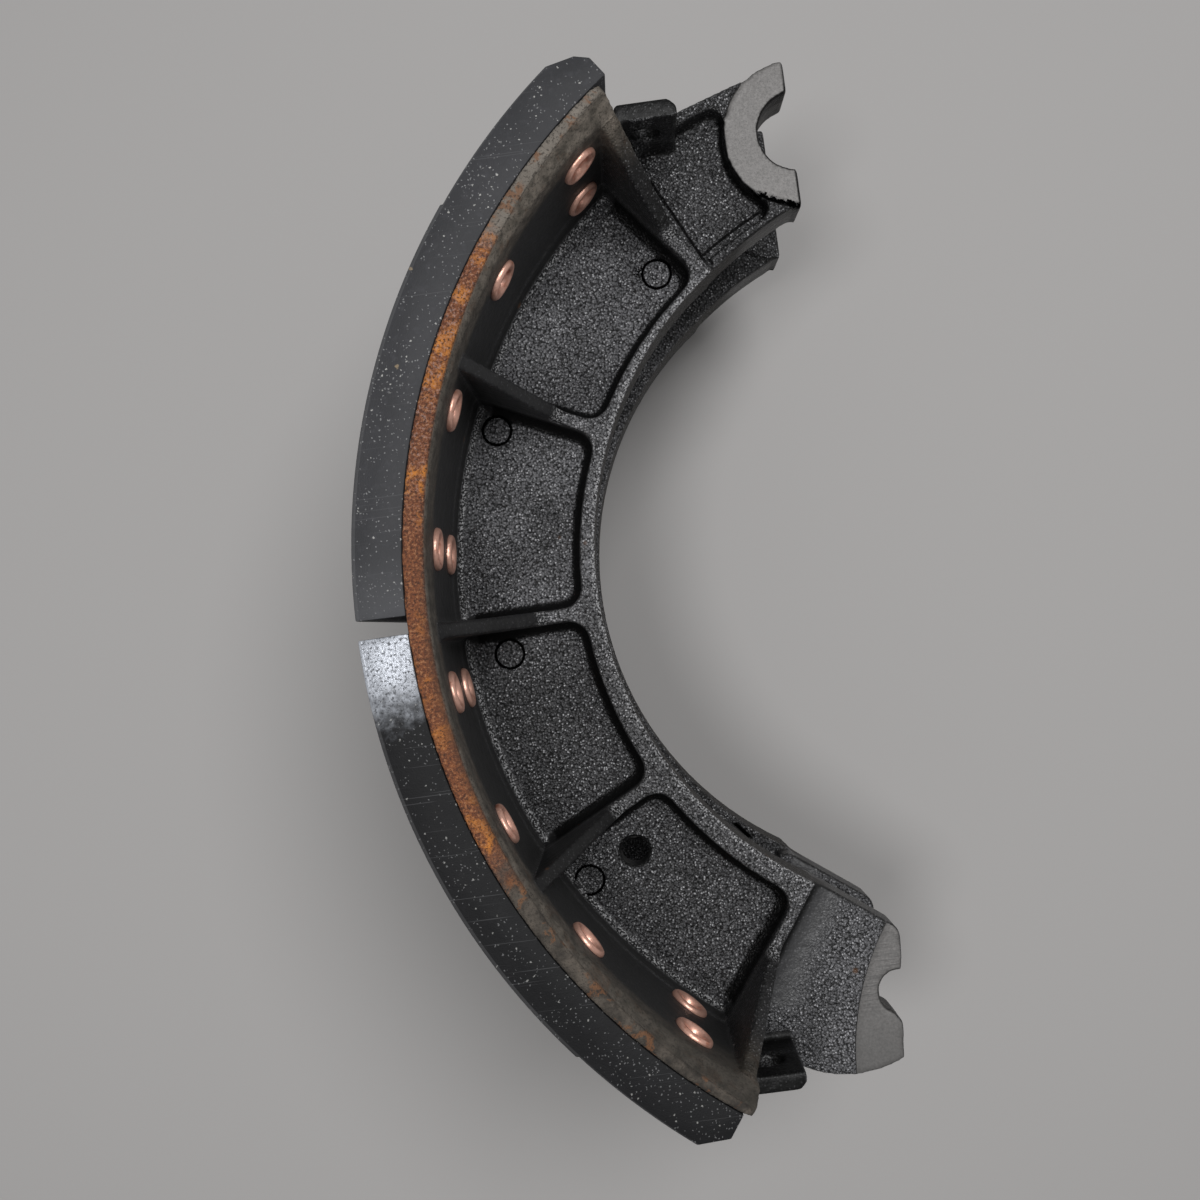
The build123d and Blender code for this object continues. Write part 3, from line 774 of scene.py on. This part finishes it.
def cut_holes(piece, side):
    """Cut a lining's rivet holes and their counterbores."""
    hole = [(0, CUT_BELOW_SEAT), (SHANK_RADIUS, CUT_BELOW_SEAT), (SHANK_RADIUS, 0),
            (COUNTERBORE_RADIUS, 0), (COUNTERBORE_RADIUS, CUT_ABOVE_SEAT), (0, CUT_ABOVE_SEAT)]
    vertices, faces = [], []
    for angle, height in rivet_places(side):
        seat = place(*polar(HEAD_SEAT, angle), height)
        outward = Vector((*polar(1, angle), 0))
        new_vertices, new_faces = lathe(hole, HOLE_SEGMENTS, seat, outward)
        faces += [tuple(len(vertices) + v for v in face) for face in new_faces]
        vertices += new_vertices
    mesh = bpy.data.meshes.new("drill")
    mesh.from_pydata(vertices, [], faces)
    face_outward(mesh)
    drill = bpy.data.objects.new("drill", mesh)
    bpy.context.collection.objects.link(drill)
    boolean = piece.modifiers.new("holes", "BOOLEAN")
    boolean.operation, boolean.solver, boolean.object = "DIFFERENCE", "EXACT", drill
    apply_modifiers(piece)
    bpy.data.objects.remove(drill)


def make_casting(material):
    """The casting with its edges rounded as cast, and its marks."""
    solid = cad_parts["shoe_casting"]
    mesh = solid.data.copy()
    mesh.transform(solid.matrix_world)
    piece = add_object("shoe_casting_skin", mesh, ("shoe_casting",), material)
    remesh = piece.modifiers.new("voxels", "REMESH")
    remesh.mode, remesh.voxel_size = "VOXEL", VOXEL
    round_off = piece.modifiers.new("rounding", "SMOOTH")
    round_off.factor, round_off.iterations = 0.5, ROUNDING_STEPS
    apply_modifiers(piece)
    shape_skin(piece.data)
    decimate = piece.modifiers.new("fewer", "DECIMATE")
    decimate.ratio = min(1.0, CASTING_TRIANGLES / (2 * len(piece.data.polygons)))
    apply_modifiers(piece)
    piece.data.shade_smooth()


def distance_to(local, center):
    return np.hypot(local[:, 0] - center[0], local[:, 1] - center[1])


def left_of(local, line):
    """How far points lie to the left of a line, seen from above."""
    (start_x, start_y), (end_x, end_y) = line
    along = np.array((end_x - start_x, end_y - start_y)) / math.hypot(end_x - start_x, end_y - start_y)
    return (local[:, 1] - start_y) * along[0] - (local[:, 0] - start_x) * along[1]


def dip(distance, width, flatness=1.0):
    """1 where the distance is 0, falling evenly to 0 at the width. Flatness widens its bottom."""
    return np.clip(flatness - flatness * np.abs(distance) / width, 0.0, 1.0)


def read_vectors(mesh, name):
    values = np.empty(len(mesh.vertices) * 3)
    mesh.vertices.foreach_get(name, values)
    return values.reshape(-1, 3)


def shape_skin(mesh):
    """Sink the casting's marks into its skin, and make the web hole round."""
    points = read_vectors(mesh, "co")
    local = (points - np.array(DRUM_AXIS)) / MM
    x, y, z = local.T
    facing = read_vectors(mesh, "normal")[:, 2]
    side = np.sign(z)
    height = np.abs(z)
    radius = np.hypot(x, y)
    angle = np.degrees(np.arctan2(y, -x))
    outer_face = facing * side > 0.6

    on_floor = np.abs(height - WEB_FLOOR) < 1.0
    for center in EJECTOR_MARKS:
        ring = dip(distance_to(local, center) - EJECTOR_RADIUS, EJECTOR_GROOVE)
        points[:, 2] -= side * on_floor * ring * EJECTOR_DEPTH * MM

    beside_gusset = dip(left_of(local, GUSSET_GROOVE), GROOVE_WIDTH)
    beside_gusset *= (y > GUSSET_GROOVE_END) & (y < GUSSET_GROOVE[0][1]) & (x < 0.0)
    along_rim = dip(radius - RIM_GROOVE_RADIUS, GROOVE_WIDTH)
    along_rim *= (angle > RIM_GROOVE_ANGLES[0]) & (angle < RIM_GROOVE_ANGLES[1])
    grooves = np.maximum(beside_gusset, along_rim)
    points[:, 2] -= side * (outer_face & (height > 30.0)) * grooves * GROOVE_DEPTH * MM

    broken = dip(left_of(local, BREAK_LINE) - BREAK_MIDDLE, BREAK_WIDTH, BREAK_FLATNESS)
    broken *= distance_to(local, BOSS_CENTER) < BOSS_RADIUS + 0.9
    points[:, 2] -= side * outer_face * (height > 34.0) * broken * BREAK_DEPTH * MM

    # The slit is in the face of the far web that looks up at the near one
    slit = dip(left_of(local, SLIT), SLIT_WIDTH)
    slit *= (y < SLIT[0][1]) & (y > SLIT[1][1]) & (x < 0.0)
    points[:, 2] -= (z < 0.0) * (facing > 0.6) * (height < 25.0) * slit * SLIT_DEPTH * MM

    distance = distance_to(local, HOLE_CENTER)
    wall = (np.abs(facing) < 0.6) & (distance > HOLE_WALL_RADII[0]) & (distance < HOLE_WALL_RADII[1])
    wall &= (height > HOLE_WALL_HEIGHTS[0]) & (height < HOLE_WALL_HEIGHTS[1])
    offset = local[wall, :2] - np.array(HOLE_CENTER)
    points[wall, :2] += (offset * (HOLE_RADIUS / distance[wall] - 1.0)[:, None]) * MM
    mesh.vertices.foreach_set("co", points.ravel())
    mesh.update()


# --- Stage --------------------------------------------------------------------------
def make_floor():
    bm = bmesh.new()
    bmesh.ops.create_grid(bm, x_segments=1, y_segments=1, size=FLOOR_SIZE)
    mesh = bpy.data.meshes.new("floor")
    bm.to_mesh(mesh)
    bm.free()
    mesh.materials.append(Shader("pale_floor").finish(Base_Color=FLOOR_COLOR, Roughness=FLOOR_ROUGHNESS))
    floor = bpy.data.objects.new("floor", mesh)
    floor.location = place(-100, 0, -HALF_WIDTH) - Vector((0, 0, FLOOR_GAP))
    bpy.context.collection.objects.link(floor)


def make_light(name, location, target, size, power):
    lamp = bpy.data.lights.new(name, "AREA")
    lamp.shape, lamp.size, lamp.energy = "DISK", size, power
    light = bpy.data.objects.new(name, lamp)
    light.location = location
    light.rotation_euler = (target - location).to_track_quat("-Z", "Y").to_euler()
    bpy.context.collection.objects.link(light)


def make_world():
    world = bpy.data.worlds.new("studio")
    bpy.context.scene.world = world
    world.use_nodes = True
    background = world.node_tree.nodes["Background"]
    background.inputs["Color"].default_value = (1.0, 1.0, 1.0, 1.0)
    background.inputs["Strength"].default_value = WORLD_STRENGTH


def make_camera():
    """The camera looks down on the shoe. Lines along the drum's axis meet at one point of the
    picture, and the roll turns the picture about it."""
    down = Vector((VANISHING_POINT[0] - IMAGE_CENTER[0], VANISHING_POINT[1] - IMAGE_CENTER[1],
                   FOCAL_PIXELS)).normalized()
    across = Vector((1, 0, 0))
    across = (across - down * across.dot(down)).normalized()
    upward = -down.cross(across)
    roll = math.radians(CAMERA_ROLL)
    picture_axes = (across, upward, down)
    world_axes = (Vector((math.cos(roll), -math.sin(roll), 0)), Vector((math.sin(roll), math.cos(roll), 0)),
                  Vector((0, 0, -1)))

    def to_world(direction):
        parts = [axis * direction.dot(picture) for axis, picture in zip(world_axes, picture_axes)]
        return sum(parts, Vector((0, 0, 0)))

    columns = (to_world(Vector((1, 0, 0))), to_world(Vector((0, -1, 0))), to_world(Vector((0, 0, -1))))
    camera = bpy.data.objects.new("camera", bpy.data.cameras.new("camera"))
    camera.data.sensor_width = camera.data.lens = FOCAL_LENGTH
    camera.matrix_world = Matrix.Translation(place(*CAMERA_PLACE)) @ Matrix(columns).transposed().to_4x4()
    bpy.context.collection.objects.link(camera)
    bpy.context.scene.camera = camera


make_rivets(make_copper_material())
make_linings()
make_casting(CastingShader().make())
make_floor()
make_world()
shoe_middle = place(-125, 0, 50)
make_light("window", place(-412, -66, 1159), shoe_middle, size=0.32, power=5.0)
make_light("key", place(275, 420, 1500), shoe_middle, size=0.75, power=14.0)
make_camera()
bpy.context.scene.view_settings.view_transform = "Standard"
